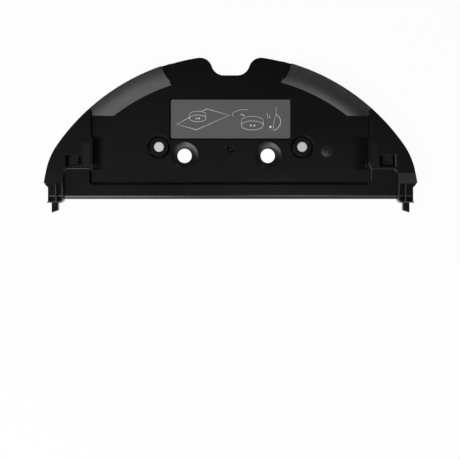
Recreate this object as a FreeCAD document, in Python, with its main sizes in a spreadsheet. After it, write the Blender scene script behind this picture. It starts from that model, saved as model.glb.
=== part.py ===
import FreeCAD, Part
import math
import os
import Sketcher

# Mop plate of a robot vacuum: a moulded plate with a round rear edge, raised wings with a latch
# recess each, crowned crescent ramps, a tower with a prong at each front corner, a glued label,
# two disc magnets and three patches of hook tape underneath.
# Drawing frame of every body: X = 0 is the middle of the plate, Y = 0 its straight front edge,
# Y grows towards the round edge, Z = 0 is the moulding's underside and the label looks up.

os.makedirs("parts", exist_ok=True)
doc = FreeCAD.newDocument("mop_plate")

DIMENSIONS = [
    # outline
    ("plate_width", "310", "overall width over both shoulders"),
    ("plate_depth", "118.5", "front edge to the crest of the tail lobes"),
    ("edge_crown", "2", "that crest to the top of the round edge's circle"),
    ("shoulder_radius", "58", "radius of the round shoulder"),
    ("shoulder_rise", "12", "front edge to the widest place of the outline"),
    ("notch_depth", "14.8", "crest of the tail lobes to the floor of the notch"),
    ("lobe_radius", "10.5", "round corner beside the notch"),
    ("notch_radius", "10.5", "hollow corner in the notch"),
    # levels above the underside
    ("panel_height", "3", "top of the sunk panel and tail"),
    ("strip_height", "4.5", "top of the front strip"),
    ("wing_height", "7", "top of the wings"),
    ("tower_height", "10", "top of the towers"),
    # edge rounding
    ("wing_edge", "0.5", "rounding of the wings' upper edges"),
    ("panel_edge", "1.2", "rounding of the strip's edge beside the panel"),
    ("tail_edge", "0.5", "rounding of the tail's upper edge"),
    ("lower_edge", "0.4", "rounding of the lower edge"),
    # front strip and panel
    ("strip_depth", "13.4", "front edge to the panel"),
    ("strip_round", "3", "rounding of the strip's upper front edge"),
    ("panel_corner", "1.8", "corner radius of the panel"),
    ("wing_width", "37.7", "shoulder to the panel's side at the strip"),
    ("waist_step", "2.4", "panel's side to the wing wall at its waist"),
    ("crown_step", "0.9", "panel's side to the wing wall beside the crescent"),
    ("wing_foot", "24.8", "front edge to the wing's step"),
    ("waist_slant", "4.7", "wing's step to the waist"),
    ("waist_length", "20", "length of the waist"),
    ("crown_slant", "3", "waist to the crown wall"),
    ("crown_length", "17.1", "length of the crown wall up to the crescent's straight end"),
    ("wing_nick", "2.6", "cut corner of the wing beside the tower"),
    ("groove_width", "0.9", "width of the groove along the crown wall"),
    ("groove_depth", "1", "depth of that groove in the panel"),
    ("groove_margin", "1.8", "groove's end to the round edge"),
    # crescent ramps
    ("crescent_width", "17.2", "inner edge of the crescent to the round edge"),
    ("crescent_crown", "150", "radius of the crescent's crowned surface"),
    ("crescent_end_radius", "19.8", "radius of the curved tail end"),
    ("crescent_end_half", "34", "middle to the centre of the curved end"),
    ("crescent_end_inset", "4.8", "crest of the tail lobes to the centre of the curved end"),
    ("crescent_end_low", "18.2", "that centre down to where the curve starts"),
    ("crescent_end_high", "5.5", "that centre down to where it runs out straight"),
    ("flow_shift", "3.7", "shift to the left of the water holes and curved ends"),
    ("tail_land_half", "45.9", "middle to the low land beside the curved end"),
    ("tail_land_rise", "0.9", "rise of that land"),
    ("tail_land_slope", "1.7", "width of its sloped side"),
    # lands
    ("pad_width", "15.7", "width of the panel's rest pad, up to the waist"),
    ("pad_length", "27.5", "length of the rest pad, from the wing's step"),
    ("pad_rise", "0.4", "rise of the rest pad's inner side"),
    ("pad_fall", "1.2", "depth of its outer side below the panel"),
    ("land_width", "8.3", "width of the wing's land beside the waist"),
    ("land_rise", "0.3", "rise of the wing's land"),
    # latch recess
    ("latch_inset", "17.7", "shoulder to the latch recess"),
    ("latch_width", "12.6", "width of the recess"),
    ("latch_gap", "2.4", "wing's step to the recess"),
    ("latch_length", "9.7", "length of the recess"),
    ("latch_shallow", "1.6", "depth at the outer end of its ramp"),
    ("latch_deep", "3.8", "depth at the inner end"),
    ("latch_flat", "4.2", "length of the deep end"),
    ("latch_slot", "1.8", "width of the slot at the outer end"),
    # tower and prong
    ("tower_inset", "2.4", "shoulder to the tower's outer side"),
    ("tower_width", "13.4", "width of the tower"),
    ("tower_head", "12.8", "front edge to the tower's head"),
    ("ramp_length", "8.6", "tower's head to the foot of the ramp"),
    ("tower_nose", "3.2", "front edge to the tower's nose"),
    ("nose_drop", "2", "fall of the ribs from the head to the nose"),
    ("nose_cut", "2.2", "cut corner of the nose"),
    ("tower_wall", "1.1", "thickness of the tower's walls"),
    ("rib_inset", "7.3", "tower's outer side to the middle of its rib"),
    ("rib_thickness", "1", "thickness of the rib"),
    ("sump_edge", "1.5", "front edge to the rim of the sump"),
    ("sump_floor", "1.2", "floor under the sump"),
    ("rim_round", "1.4", "rounding of the sump's rim"),
    ("prong_inset", "3.6", "tower's outer side to the prong"),
    ("prong_width", "5.4", "width of the prong"),
    ("prong_reach", "11.3", "front edge to the prong's tip"),
    ("prong_slant", "1.9", "slant of the tip"),
    ("prong_bottom", "1.6", "underside of the prong"),
    ("prong_height", "5.2", "height of the prong"),
    ("prong_chamfer", "0.8", "lead-in chamfer of the prong"),
    # magnets, water holes and marks
    ("magnet_half", "59.9", "middle to each magnet"),
    ("magnet_rise", "43.6", "front edge to the magnets"),
    ("magnet_radius", "4.2", "radius of the magnet"),
    ("magnet_thickness", "2.4", "thickness of the magnet"),
    ("magnet_edge", "0.3", "chamfer of the magnet's edges"),
    ("magnet_play", "0.08", "clearance round the magnet"),
    ("boss_radius", "8.2", "radius of the magnet's ring boss"),
    ("boss_rise", "1", "rise of the ring boss above the panel"),
    ("boss_round", "0.6", "rounding of the ring boss"),
    ("moat_width", "0.9", "width of the groove round the boss"),
    ("moat_depth", "0.7", "depth of that groove"),
    ("hole_half", "34.9", "half the spacing of the water holes"),
    ("hole_rise", "36.3", "front edge to the water holes"),
    ("hole_radius", "6", "radius of the water hole"),
    ("funnel_radius", "11.4", "radius of the funnel round the hole"),
    ("funnel_depth", "1.6", "depth of the funnel"),
    ("button_side", "80.5", "middle to the domed button"),
    ("button_rise", "39.9", "front edge to the domed button"),
    ("button_radius", "4.4", "radius of the domed button"),
    ("button_height", "0.8", "height of its dome"),
    ("gate_rise", "41.5", "front edge to the gate mark"),
    ("gate_radius", "2.2", "radius of the gate mark"),
    ("gate_depth", "0.3", "depth of the gate mark"),
    # label
    ("label_width", "99.8", "width of the label"),
    ("label_depth", "32.4", "depth of the label"),
    ("label_middle", "67", "front edge to the label's middle"),
    ("label_corner", "1.3", "corner radius of the label"),
    ("label_thickness", "0.25", "thickness of the label"),
    ("label_play", "0.5", "margin of the label's recess"),
    # underside
    ("skin", "2", "nominal wall of the cored regions"),
    ("rib_wall", "1.6", "thickness of the ribs underneath"),
    ("wing_rib", "51", "front edge to the wing's cross rib"),
    ("slot_width", "9", "inner width of the cloth bar's slot"),
    ("slot_room", "1.8", "inner height of the slot"),
    ("slot_lip", "1", "thickness of the slot's lips"),
    ("slot_gap", "4", "gap between the lips"),
    ("slot_middle", "7", "front edge to the middle of the slot"),
    ("slot_inset", "23", "shoulder to the slot's ends"),
    ("slot_mouth", "18", "length of the open mouth at each end"),
    ("tape_thickness", "1.2", "thickness of the hook tape"),
    ("tape_sink", "0.4", "depth of the hook tape's recess"),
    ("tape_play", "0.3", "margin of the hook tape's recess"),
    ("tape_corner", "2", "corner radius of the hook tape"),
    ("side_tape_width", "26", "width of the side patches"),
    ("side_tape_depth", "44", "depth of the side patches"),
    ("side_tape_half", "84", "middle to the side patches"),
    ("side_tape_rise", "44", "front edge to the middle of the side patches"),
    ("tail_tape_width", "76", "width of the tail patch"),
    ("tail_tape_depth", "20", "depth of the tail patch"),
    ("tail_tape_gap", "15.7", "notch's floor to the middle of the tail patch"),
]

sheet = doc.addObject("Spreadsheet::Sheet", "Sizes")
for row, (alias, number, meaning) in enumerate(DIMENSIONS, start=1):
    sheet.set(f"A{row}", meaning)
    sheet.set(f"B{row}", number)
    sheet.setAlias(f"B{row}", alias)
doc.recompute()


class Size:
    """A length that knows its value and the sheet formula it comes from."""

    def __init__(self, value, formula):
        self.value = value
        self.formula = formula

    def joined(self, sign, other, value):
        return Size(value, f"({self.formula} {sign} {other.formula})")

    def __add__(self, other):
        other = as_size(other)
        return self.joined("+", other, self.value + other.value)

    def __sub__(self, other):
        other = as_size(other)
        return self.joined("-", other, self.value - other.value)

    def __mul__(self, other):
        other = as_size(other)
        return self.joined("*", other, self.value * other.value)

    def __truediv__(self, other):
        other = as_size(other)
        return self.joined("/", other, self.value / other.value)

    def __neg__(self):
        return Size(-self.value, f"(-1 * {self.formula})")

    def root(self):
        return Size(math.sqrt(self.value), f"sqrt({self.formula})")

    def arc_cosine(self):
        """Angle in degrees as a plain number."""
        return Size(math.degrees(math.acos(self.value)), f"(acos({self.formula}) / (1 deg))")


def as_size(number):
    """Turn a plain factor into a Size; a Size stays as it is."""
    if isinstance(number, Size):
        return number
    return Size(float(number), f"{float(number)}")


def size(alias):
    """The sheet's dimension of that name."""
    return Size(float(sheet.get(alias)), f"Sizes.{alias}")


ZERO = as_size(0)
S = {alias: size(alias) for alias, number, meaning in DIMENSIONS}
HALF_WIDTH = S["plate_width"] / 2

# Round edge: a large circle about (0, EDGE_Y) runs into the smaller shoulder circle, which ends
# square at the widest place. The large one passes edge_crown above the tail lobes.
CREST = S["plate_depth"] + S["edge_crown"]
SHOULDER_X = HALF_WIDTH - S["shoulder_radius"]
SHOULDER_DROP = CREST - S["shoulder_rise"]
EDGE_RADIUS = (SHOULDER_X * SHOULDER_X + SHOULDER_DROP * SHOULDER_DROP
               - S["shoulder_radius"] * S["shoulder_radius"]) / (
                   (SHOULDER_DROP - S["shoulder_radius"]) * 2)
EDGE_Y = CREST - EDGE_RADIUS
NOTCH_FLOOR = S["plate_depth"] - S["notch_depth"]

# Places of the panel's walls, the wing and the tower, measured from the shoulder inwards and
# from the wing's step upwards.
PANEL_SIDE = HALF_WIDTH - S["wing_width"]
WAIST = PANEL_SIDE - S["waist_step"]
CROWN = PANEL_SIDE - S["crown_step"]
WAIST_LOW = S["wing_foot"] + S["waist_slant"]
WAIST_HIGH = WAIST_LOW + S["waist_length"]
CROWN_LOW = WAIST_HIGH + S["crown_slant"]
CRESCENT_FOOT = CROWN_LOW + S["crown_length"]
LATCH_OUTER = HALF_WIDTH - S["latch_inset"]
LATCH_INNER = LATCH_OUTER - S["latch_width"]
LATCH_LOW = S["wing_foot"] + S["latch_gap"]
LATCH_HIGH = LATCH_LOW + S["latch_length"]
TOWER_OUTER = HALF_WIDTH - S["tower_inset"]
TOWER_INNER = TOWER_OUTER - S["tower_width"]
SLOT_END = HALF_WIDTH - S["slot_inset"]


def edge_joint(inset):
    """Corner where the two circles of the round edge meet, moved in by the inset."""
    share = (EDGE_RADIUS - inset) / (EDGE_RADIUS - S["shoulder_radius"])
    return SHOULDER_X * share, EDGE_Y + (S["shoulder_rise"] - EDGE_Y) * share


def edge_x(y, inset):
    """X of the main circle, moved in by the inset, at a given Y."""
    radius = EDGE_RADIUS - inset
    return (radius * radius - (y - EDGE_Y) * (y - EDGE_Y)).root()


def edge_y(x, inset):
    """Y of the main circle, moved in by the inset, at a given X."""
    radius = EDGE_RADIUS - inset
    return EDGE_Y + (radius * radius - x * x).root()


def shoulder_x(y, inset):
    """X of the shoulder circle, moved in by the inset, at a given Y."""
    radius = S["shoulder_radius"] - inset
    rise = y - S["shoulder_rise"]
    return SHOULDER_X + (radius * radius - rise * rise).root()


def plane_of(body, role):
    """Origin plane of a body, found by its role."""
    return next(item for item in body.Origin.OriginFeatures if item.Role == role)


def new_sketch(body, name, role="XY_Plane", lift=None):
    """Sketch on an origin plane of its body, lifted along the plane's normal."""
    sketch = body.newObject("Sketcher::SketchObject", name)
    sketch.AttachmentSupport = [(plane_of(body, role), "")]
    sketch.MapMode = "FlatFace"
    if lift is not None:
        sketch.setExpression("AttachmentOffset.Base.z", lift.formula)
    return sketch


def hold(sketch, edge, end, corner):
    """Hold one end of an edge at a corner given by two sizes."""
    for kind, along, axis in (("DistanceX", corner[0], -2), ("DistanceY", corner[1], -1)):
        if along is ZERO:
            sketch.addConstraint(Sketcher.Constraint("PointOnObject", edge, end, axis))
            continue
        if along.value < 0:
            index = sketch.addConstraint(Sketcher.Constraint(kind, edge, end, -1, 1, -along.value))
            along = -along
        else:
            index = sketch.addConstraint(Sketcher.Constraint(kind, -1, 1, edge, end, along.value))
        sketch.setExpression(f"Constraints[{index}]", along.formula)


def draw(sketch, corners):
    """Closed outline through corners (x, y) or (x, y, bend).

    A bend is the radius of the edge that leaves the corner, positive where the edge turns left
    and negative where it turns right.
    """
    ends = []
    for here, there in zip(corners, corners[1:] + corners[:1]):
        start = FreeCAD.Vector(here[0].value, here[1].value, 0)
        stop = FreeCAD.Vector(there[0].value, there[1].value, 0)
        if len(here) == 2:
            edge = sketch.addGeometry(Part.LineSegment(start, stop), False)
            ends.append((edge, 1, 2))
            continue
        turns_left = here[2].value > 0
        radius = here[2] if turns_left else -here[2]
        chord = stop - start
        height = math.sqrt(radius.value ** 2 - (chord.Length / 2) ** 2)
        side = FreeCAD.Vector(-chord.y, chord.x, 0).normalize()
        centre = (start + stop) * 0.5 + side * (height if turns_left else -height)
        first, last = (start, stop) if turns_left else (stop, start)
        angles = [math.atan2(point.y - centre.y, point.x - centre.x) for point in (first, last)]
        if angles[1] < angles[0]:
            angles[1] += 2 * math.pi
        circle = Part.Circle(centre, FreeCAD.Vector(0, 0, 1), radius.value)
        edge = sketch.addGeometry(Part.ArcOfCircle(circle, angles[0], angles[1]), False)
        index = sketch.addConstraint(Sketcher.Constraint("Radius", edge, radius.value))
        sketch.setExpression(f"Constraints[{index}]", radius.formula)
        ends.append((edge, 1, 2) if turns_left else (edge, 2, 1))
    for (edge, begin, finish), (follower, onward, rest) in zip(ends, ends[1:] + ends[:1]):
        sketch.addConstraint(Sketcher.Constraint("Coincident", edge, finish, follower, onward))
    for (edge, begin, finish), corner in zip(ends, corners):
        hold(sketch, edge, begin, corner)


def draw_circle(sketch, x, y, radius):
    """Full circle held by its centre and radius."""
    centre = FreeCAD.Vector(x.value, y.value, 0)
    circle = Part.Circle(centre, FreeCAD.Vector(0, 0, 1), radius.value)
    edge = sketch.addGeometry(circle, False)
    index = sketch.addConstraint(Sketcher.Constraint("Radius", edge, radius.value))
    sketch.setExpression(f"Constraints[{index}]", radius.formula)
    hold(sketch, edge, 3, (x, y))


def box_corners(left, right, low, high):
    """Four corners of a rectangle."""
    return [(left, low), (right, low), (right, high), (left, high)]


def round_box(left, right, low, high, radius):
    """Corners of a rectangle with round corners, drawn to the left."""
    return [(left + radius, low), (right - radius, low, radius),
            (right, low + radius), (right, high - radius, radius),
            (right - radius, high), (left + radius, high, radius),
            (left, high - radius), (left, low + radius, radius)]


def settle(body, feature, grows):
    """Recompute, then make sure that the feature is sound and changed the volume."""
    before = settle.volumes.get(body.Name, 0)
    doc.recompute()
    volume = feature.Shape.Volume
    changed = volume - before
    if "Invalid" in feature.State or (changed > 0) != grows or abs(changed) < 0.01:
        raise RuntimeError(f"{feature.Name}: {feature.State}, volume changed by {changed:.3f}")
    settle.volumes[body.Name] = volume
    return feature


settle.volumes = {}


def pad(body, name, sketch, length, backwards=False):
    """Add the sketch's outline, pulled along the sketch's normal."""
    feature = body.newObject("PartDesign::Pad", name)
    feature.Profile = sketch
    feature.Reversed = backwards
    feature.setExpression("Length", length.formula)
    return settle(body, feature, True)


def pocket(body, name, sketch, length, backwards=False):
    """Cut the sketch's outline, against the sketch's normal unless turned round."""
    feature = body.newObject("PartDesign::Pocket", name)
    feature.Profile = sketch
    feature.Reversed = backwards
    feature.setExpression("Length", length.formula)
    return settle(body, feature, False)


def turned(body, kind, name, sketch, degrees=as_size(360), backwards=False):
    """Revolution or Groove of a sketch about its own vertical axis."""
    feature = body.newObject(kind, name)
    feature.Profile = sketch
    feature.ReferenceAxis = (sketch, ["V_Axis"])
    feature.setExpression("Angle", degrees.formula)
    feature.Reversed = backwards
    return settle(body, feature, kind.endswith("Revolution"))


def edges_where(feature, test):
    """Names of the edges of which five points along the edge all pass the test."""
    names = []
    for number, edge in enumerate(feature.Shape.Edges, start=1):
        span = edge.LastParameter - edge.FirstParameter
        points = [edge.valueAt(edge.FirstParameter + span * share / 4) for share in range(5)]
        if all(test(point) for point in points):
            names.append(f"Edge{number}")
    return names


def rounding(body, name, edges, radius):
    """Round the named edges of the body's last feature."""
    base = body.Tip
    feature = body.newObject("PartDesign::Fillet", name)
    feature.Base = (base, edges)
    feature.setExpression("Radius", radius.formula)
    return settle(body, feature, False)


def new_body(label):
    """Empty body in the drawing frame, put in its place on the floor."""
    body = doc.addObject("PartDesign::Body", label)
    body.Label = label
    stand = S["tape_thickness"] - S["tape_sink"]
    middle = (S["prong_reach"] - S["plate_depth"]) / 2
    body.setExpression("Placement.Base.y", middle.formula)
    body.setExpression("Placement.Base.z", stand.formula)
    doc.recompute()
    return body


# The moulding, right half first. Rough cuts overrun the outline, which the blank already has.
plate = new_body("mop_plate")
FAR = S["plate_width"]
OVER = as_size(2)
TOP = S["tower_height"]
PANEL = S["panel_height"]
STRIP = S["strip_height"]
WING = S["wing_height"]
HEAD = S["tower_head"]
CRESCENT_AZIMUTHS = (12, 46)
CORE_AZIMUTH = 21
CORE_CELLS = 3


def blank():
    """Half of the plate's outline at the towers' full height."""
    lobe_y = S["plate_depth"] - S["lobe_radius"]
    reach = EDGE_RADIUS - S["lobe_radius"]
    lobe_x = (reach * reach - (lobe_y - EDGE_Y) * (lobe_y - EDGE_Y)).root()
    hollow_y = NOTCH_FLOOR + S["notch_radius"]
    span = S["lobe_radius"] + S["notch_radius"]
    hollow_x = lobe_x - (span * span - (hollow_y - lobe_y) * (hollow_y - lobe_y)).root()
    lobe_share = EDGE_RADIUS / reach
    bend_share = S["notch_radius"] / span
    joint_x, joint_y = edge_joint(ZERO)
    shoulder_cut = HALF_WIDTH - TOWER_OUTER
    sketch = new_sketch(plate, "OutlineSketch")
    draw(sketch, [
        (ZERO, ZERO),
        (TOWER_OUTER, ZERO),
        (TOWER_OUTER, S["shoulder_rise"] - shoulder_cut),
        (HALF_WIDTH, S["shoulder_rise"], S["shoulder_radius"]),
        (joint_x, joint_y, EDGE_RADIUS),
        (lobe_x * lobe_share, EDGE_Y + (lobe_y - EDGE_Y) * lobe_share, S["lobe_radius"]),
        (hollow_x + (lobe_x - hollow_x) * bend_share, hollow_y + (lobe_y - hollow_y) * bend_share,
         -S["notch_radius"]),
        (hollow_x, NOTCH_FLOOR),
        (ZERO, NOTCH_FLOOR),
    ])
    pad(plate, "Blank", sketch, TOP)


def levels():
    """Cut the wing level with its ramp, the front strip and the sunk panel."""
    sketch = new_sketch(plate, "WingLevelSketch", "YZ_Plane")
    draw(sketch, [(HEAD, TOP), (HEAD + S["ramp_length"], WING), (FAR, WING), (FAR, TOP + OVER),
                  (HEAD, TOP + OVER)])
    pocket(plate, "WingLevel", sketch, FAR, backwards=True)

    fall = STRIP - S["strip_round"]
    sketch = new_sketch(plate, "StripLevelSketch", "YZ_Plane")
    draw(sketch, [(-OVER, fall), (ZERO, fall, -S["strip_round"]), (S["strip_round"], STRIP),
                  (S["wing_foot"], STRIP), (S["wing_foot"], TOP + OVER), (-OVER, TOP + OVER)])
    pocket(plate, "StripLevel", sketch, TOWER_INNER, backwards=True)

    nick = S["wing_nick"]
    sketch = new_sketch(plate, "WingNickSketch")
    draw(sketch, [(TOWER_INNER - nick, S["wing_foot"]),
                  (TOWER_INNER, S["wing_foot"] - nick),
                  (TOWER_INNER + nick, S["wing_foot"])])
    pad(plate, "WingNick", sketch, WING)

    corner = S["panel_corner"]
    sketch = new_sketch(plate, "PanelSketch", lift=PANEL)
    draw(sketch, [
        (-OVER, S["strip_depth"]),
        (PANEL_SIDE - corner, S["strip_depth"], corner),
        (PANEL_SIDE, S["strip_depth"] + corner),
        (PANEL_SIDE, S["wing_foot"]),
        (WAIST, WAIST_LOW),
        (WAIST, WAIST_HIGH),
        (CROWN, CROWN_LOW),
        (CROWN, FAR),
        (-OVER, FAR),
    ])
    pocket(plate, "Panel", sketch, TOP, backwards=True)


def near(value, length):
    """Whether a coordinate lies at a length, to a hundredth of a millimetre."""
    return abs(value - length.value) < 0.01


def on_round_edge(point):
    """Whether a point lies on the round edge's main circle or shoulder circle."""
    main = math.hypot(point.x, point.y - EDGE_Y.value)
    shoulder = math.hypot(point.x - SHOULDER_X.value, point.y - S["shoulder_rise"].value)
    return near(main, EDGE_RADIUS) or near(shoulder, S["shoulder_radius"])


def level_edges():
    """Round the strip's edge beside the panel and the upper edges of the wing."""
    side = PANEL_SIDE.value
    depth = S["strip_depth"].value
    foot = S["wing_foot"].value
    edges = edges_where(plate.Tip, lambda point: near(point.z, STRIP) and point.x < side + 0.01
                        and depth - 0.01 < point.y < foot + 0.01)
    rounding(plate, "PanelEdge", edges, S["panel_edge"])

    low = foot - S["wing_nick"].value - 0.01
    edges = edges_where(plate.Tip, lambda point: near(point.z, WING) and point.y > low
                        and point.x < TOWER_INNER.value + 0.01)
    edges += edges_where(plate.Tip, lambda point: on_round_edge(point)
                         and point.z > WING.value - 0.01 and point.y > HEAD.value - 0.01)
    rounding(plate, "WingEdge", edges, S["wing_edge"])


def radial_sketch(name, azimuth):
    """Sketch that stands on the round edge's axis, turned towards the wing; X is the radius."""
    sketch = new_sketch(plate, name, "YZ_Plane")
    turn = FreeCAD.Rotation(FreeCAD.Vector(0, 1, 0), -azimuth)
    sketch.AttachmentOffset = FreeCAD.Placement(FreeCAD.Vector(EDGE_Y.value, 0, 0), turn)
    sketch.setExpression("AttachmentOffset.Base.x", EDGE_Y.formula)
    return sketch


def crescent():
    """Crowned ramp along the round edge, cut straight at its foot.

    The crown's circle starts at the ramp's foot and runs into the rounding of the rim.
    """
    first, last = CRESCENT_AZIMUTHS
    outer = EDGE_RADIUS
    inner = outer - S["crescent_width"]
    bend = S["wing_edge"]
    crown = S["crescent_crown"]
    run = S["crescent_width"] - bend
    rise = WING - bend - PANEL
    span = (run * run + rise * rise).root()
    ahead = (crown * crown - (crown - bend) * (crown - bend) + span * span) / (span * 2)
    aside = (crown * crown - ahead * ahead).root()
    back = (run * ahead + rise * aside) / span
    drop = (run * aside - rise * ahead) / span
    share = crown / (crown - bend)
    sketch = radial_sketch("CrescentSketch", first)
    draw(sketch, [(inner, PANEL / 2), (outer, PANEL / 2), (outer, WING - bend, bend),
                  (inner + back + (run - back) * share,
                   PANEL - drop + (rise + drop) * share, crown),
                  (inner, PANEL)])
    turned(plate, "PartDesign::Revolution", "Crescent", sketch, as_size(last - first),
           backwards=True)

    sketch = new_sketch(plate, "CrescentFootSketch", lift=PANEL)
    draw(sketch, box_corners(WAIST / 2, CROWN, CROWN_LOW, CRESCENT_FOOT))
    pocket(plate, "CrescentFoot", sketch, TOP, backwards=True)

    sketch = new_sketch(plate, "CrownGrooveSketch", lift=PANEL - S["groove_depth"])
    draw(sketch, box_corners(CROWN - S["groove_width"], CROWN, CROWN_LOW,
                             edge_y(CROWN, S["groove_margin"])))
    pocket(plate, "CrownGroove", sketch, TOP, backwards=True)


def wall_details():
    """Rest pad of the panel, which falls off towards the wing, and the wing's land."""
    inner = WAIST - S["pad_width"]
    low = S["wing_foot"]
    fall = S["pad_rise"] + S["pad_fall"]
    sketch = new_sketch(plate, "RestPadSketch", lift=PANEL)
    draw(sketch, box_corners(inner, WAIST, low, low + S["pad_length"]))
    pad(plate, "RestPad", sketch, S["pad_rise"])
    sketch = new_sketch(plate, "RestPadFallSketch", "XZ_Plane", lift=-low)
    draw(sketch, [(inner, PANEL + S["pad_rise"],
                   -(S["pad_width"] * S["pad_width"] + fall * fall) / (fall * 2)),
                  (WAIST, PANEL - S["pad_fall"]), (WAIST, PANEL + OVER),
                  (inner, PANEL + OVER)])
    pocket(plate, "RestPadFall", sketch, S["pad_length"])

    sketch = new_sketch(plate, "LandSketch", lift=WING)
    draw(sketch, box_corners(WAIST, WAIST + S["land_width"], WAIST_LOW, WAIST_HIGH))
    pad(plate, "Land", sketch, S["land_rise"])


def tower():
    """Nose, channels, sumps and prong of the front corner."""
    nose = -S["tower_nose"]
    sketch = new_sketch(plate, "NoseSketch")
    draw(sketch, box_corners(TOWER_INNER, TOWER_OUTER, nose, OVER))
    pad(plate, "Nose", sketch, TOP)

    nose_wall = nose + S["tower_wall"]
    rib_left = TOWER_OUTER - S["rib_inset"] - S["rib_thickness"] / 2
    rib_right = rib_left + S["rib_thickness"]
    rim = S["rim_round"]
    sump = [(S["sump_edge"] + rim, STRIP, rim), (S["sump_edge"], STRIP - rim),
            (S["sump_edge"], S["sump_floor"]), (nose_wall, S["sump_floor"])]
    channels = [
        ("InnerChannel", TOWER_INNER + S["tower_wall"], rib_left,
         sump + [(nose_wall, TOP + OVER), (HEAD, TOP + OVER), (HEAD, STRIP)]),
        ("OuterSump", rib_right, TOWER_OUTER - S["tower_wall"],
         sump + [(nose_wall, TOP + OVER), (S["sump_edge"] + rim, TOP + OVER)]),
        ("OuterChannel", rib_right, FAR,
         [(nose_wall, STRIP), (HEAD, STRIP), (HEAD, TOP + OVER), (nose_wall, TOP + OVER)]),
    ]
    for name, start, stop, profile in channels:
        sketch = new_sketch(plate, f"{name}Sketch", "YZ_Plane", lift=start)
        draw(sketch, profile)
        pocket(plate, name, sketch, stop - start, backwards=True)

    inside = TOWER_INNER + S["tower_wall"]
    fill = S["nose_cut"] + S["tower_wall"] * math.sqrt(2) - S["tower_wall"] * 2
    sketch = new_sketch(plate, "NoseCornerSketch")
    draw(sketch, [(inside, nose_wall + fill), (inside, nose_wall), (inside + fill, nose_wall)])
    pad(plate, "NoseCorner", sketch, TOP)
    sketch = new_sketch(plate, "NoseCutSketch")
    draw(sketch, [(TOWER_INNER, nose + S["nose_cut"]), (TOWER_INNER, nose),
                  (TOWER_INNER + S["nose_cut"], nose)])
    pocket(plate, "NoseCut", sketch, TOP, backwards=True)
    sketch = new_sketch(plate, "NoseFallSketch", "YZ_Plane")
    draw(sketch, [(nose, TOP - S["nose_drop"]), (HEAD, TOP), (HEAD, TOP + OVER),
                  (nose, TOP + OVER)])
    pocket(plate, "NoseFall", sketch, FAR, backwards=True)

    sketch = new_sketch(plate, "ProngSketch", lift=S["prong_bottom"])
    tip = -S["prong_reach"]
    right = TOWER_OUTER - S["prong_inset"]
    left = right - S["prong_width"]
    draw(sketch, [(left, nose_wall), (left, tip + S["prong_slant"]), (right, tip),
                  (right, nose_wall)])
    prong = pad(plate, "Prong", sketch, S["prong_height"])
    limit = (tip + S["prong_slant"]).value + 0.01
    levels_of_tip = (S["prong_bottom"], S["prong_bottom"] + S["prong_height"])
    tips = [edge for level in levels_of_tip for edge in edges_where(
        prong, lambda point: near(point.z, level) and point.y < limit)]
    chamfer = plate.newObject("PartDesign::Chamfer", "ProngLeadIn")
    chamfer.Base = (prong, tips)
    chamfer.setExpression("Size", S["prong_chamfer"].formula)
    settle(plate, chamfer, False)


def latch():
    """Ramped latch recess in the wing with a slot at its outer end and a closed cup under it."""
    floor = WING - S["latch_deep"]
    wall = S["rib_wall"]
    sketch = new_sketch(plate, "LatchCupSketch", lift=floor - S["skin"])
    draw(sketch, box_corners(LATCH_INNER - wall, LATCH_OUTER + wall,
                             S["wing_foot"] + S["skin"] / 2, LATCH_HIGH + wall))
    pad(plate, "LatchCup", sketch, S["latch_deep"] + S["skin"] / 2)

    sketch = new_sketch(plate, "LatchSketch", "XZ_Plane", lift=-LATCH_LOW)
    draw(sketch, [(LATCH_INNER, floor), (LATCH_INNER + S["latch_flat"], floor),
                  (LATCH_OUTER, WING - S["latch_shallow"]),
                  (LATCH_OUTER, WING + OVER), (LATCH_INNER, WING + OVER)])
    pocket(plate, "Latch", sketch, LATCH_HIGH - LATCH_LOW)
    sketch = new_sketch(plate, "LatchSlotSketch", lift=floor)
    draw(sketch, box_corners(LATCH_OUTER - S["latch_slot"], LATCH_OUTER, LATCH_LOW, LATCH_HIGH))
    pocket(plate, "LatchSlot", sketch, TOP, backwards=True)


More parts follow.
